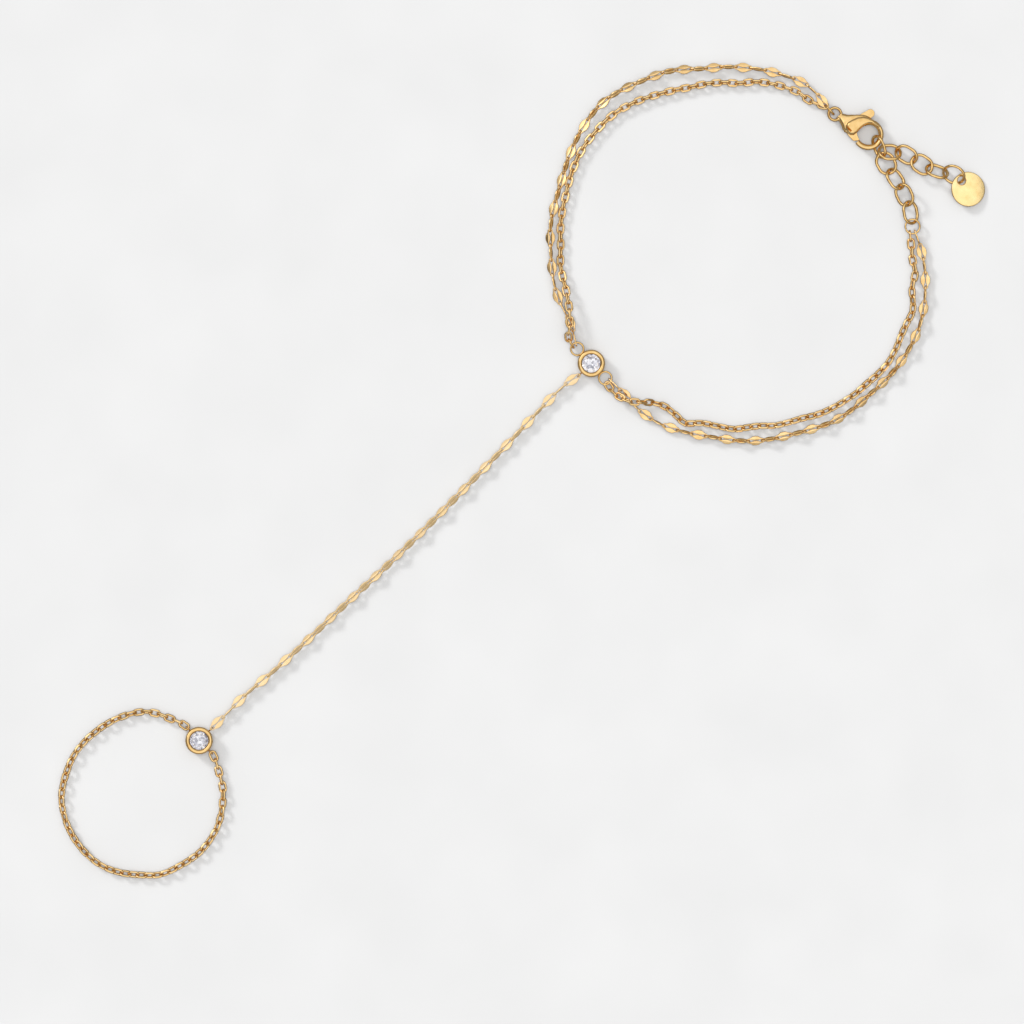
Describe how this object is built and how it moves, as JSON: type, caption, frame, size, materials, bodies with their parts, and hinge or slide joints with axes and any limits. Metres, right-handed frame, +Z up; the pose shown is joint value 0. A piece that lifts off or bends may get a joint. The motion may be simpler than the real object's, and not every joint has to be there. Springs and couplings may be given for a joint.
{
  "type": "hand chain bracelet",
  "caption": "Fine gold-tone hand chain: a double wrist chain with a lever clasp and extension, a chain across the hand and a finger loop, with two round set stones.",
  "frame": {"origin": "centre of the flat back of the wrist setting, on the plane that the bracelet lies on", "axes": "+Y from the finger loop towards the wrist, +X across the hand, +Z up"},
  "size_m": [0.0593, 0.1636, 0.0028],
  "materials": {
    "gold": "polished",
    "stone": "polished"
  },
  "bodies": {
    "bracelet": {"wrist_bezel": "gold", "finger_bezel": "gold", "wrist_stone": "stone", "finger_stone": "stone", "hand_chain": "gold", "finger_chain": "gold", "wrist_lace_left": "gold", "wrist_lace_right": "gold", "wrist_cable_left": "gold", "wrist_cable_right": "gold", "clasp_ring": "gold", "clasp_body": "gold", "end_ring": "gold", "extension_link_1": "gold", "extension_link_2": "gold", "extension_link_3": "gold", "extension_link_4": "gold", "hooked_link": "gold", "tail_link_1": "gold", "tail_link_2": "gold", "tail_link_3": "gold", "tail_link_4": "gold", "tag_ring": "gold", "tag": "gold"},
    "lever": {"clasp_lever": "gold"}
  },
  "joints": [
    {"name": "lever_hinge", "type": "hinge", "parent": "bracelet", "child": "lever", "pos_m": [0.0015, 0.05205, 0.0011], "axis": [0, 0, 1], "range_deg": [0, 26], "stiffness_Nm_per_rad": 0.002, "springref_deg": -28.65}
  ]
}
